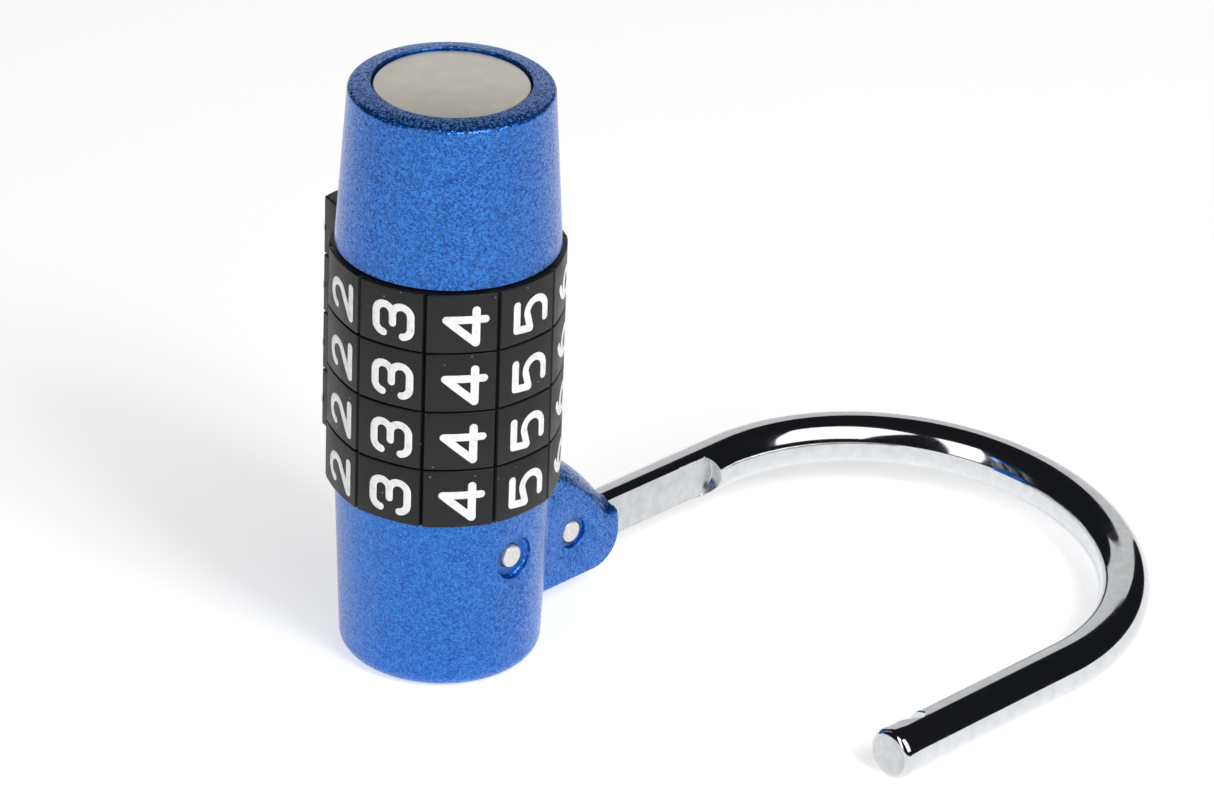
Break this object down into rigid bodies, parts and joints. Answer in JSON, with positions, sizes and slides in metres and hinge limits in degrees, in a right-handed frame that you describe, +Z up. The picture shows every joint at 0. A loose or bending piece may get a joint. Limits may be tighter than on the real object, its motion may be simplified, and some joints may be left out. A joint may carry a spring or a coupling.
{
  "type": "padlock",
  "caption": "Barrel combination padlock with a stack of numbered dials, and a U shackle that slides out of the side of the barrel and swivels.",
  "frame": {"origin": "middle of the barrel's flat base", "axes": "+Z up the barrel, +X out along the shackle's heel leg, the shackle swung down on the -Y side at rest"},
  "size_m": [0.0934, 0.0794, 0.0741],
  "materials": {
    "blue_paint": "metallic flake enamel, semi-gloss",
    "chrome": "bright chrome plate",
    "nickel": "dull nickel plate",
    "pin_steel": "plain turned steel",
    "dial_plastic": "satin moulded plastic with white filled digits",
    "brass": "turned brass",
    "inner_steel": "turned zinc-plated steel",
    "spring_steel": "spring steel",
    "nylon": "moulded nylon"
  },
  "bodies": {
    "housing": {"lower_housing": "blue_paint", "upper_housing": "blue_paint", "end_plug": "nickel", "heel_block": "blue_paint", "heel_block_pin": "pin_steel", "retaining_pin": "pin_steel", "core_tube": "inner_steel", "core_nut": "inner_steel", "spindle_spring": "spring_steel", "index_spring": "spring_steel", "lower_washer": "inner_steel", "upper_washer": "inner_steel"},
    "heel_button": {"heel_button": "nylon"},
    "shackle": {"shackle": "chrome"},
    "dial_1": {"dial_1": "dial_plastic", "hub_1": "brass"},
    "dial_2": {"dial_2": "dial_plastic", "hub_2": "brass"},
    "dial_3": {"dial_3": "dial_plastic", "hub_3": "brass"},
    "dial_4": {"dial_4": "dial_plastic", "hub_4": "brass"},
    "spindle": {"spindle": "brass"}
  },
  "joints": [
    {"name": "shackle_slide", "type": "slide", "parent": "housing", "child": "heel_button", "axis": [1, 0, 0], "range_m": [-0.0213, 0]},
    {"name": "shackle_swing", "type": "hinge", "parent": "heel_button", "child": "shackle", "pos_m": [0, 0, 0.00725], "axis": [1, 0, 0], "range_deg": [-94.03, 265.97]},
    {"name": "dial_1_spin", "type": "hinge", "parent": "housing", "child": "dial_1", "pos_m": [0, 0, 0.02678], "axis": [0, 0, 1], "continuous": true, "deforming": ["index_spring"]},
    {"name": "dial_2_spin", "type": "hinge", "parent": "housing", "child": "dial_2", "pos_m": [0, 0, 0.03446], "axis": [0, 0, 1], "continuous": true},
    {"name": "dial_3_spin", "type": "hinge", "parent": "housing", "child": "dial_3", "pos_m": [0, 0, 0.04214], "axis": [0, 0, 1], "continuous": true},
    {"name": "dial_4_spin", "type": "hinge", "parent": "housing", "child": "dial_4", "pos_m": [0, 0, 0.04982], "axis": [0, 0, 1], "continuous": true},
    {"name": "spindle_slide", "type": "slide", "parent": "housing", "child": "spindle", "axis": [0, 0, 1], "range_m": [-0.0016, 0], "stiffness_N_per_m": 150, "springref_m": 0.001, "deforming": ["spindle_spring"]}
  ]
}
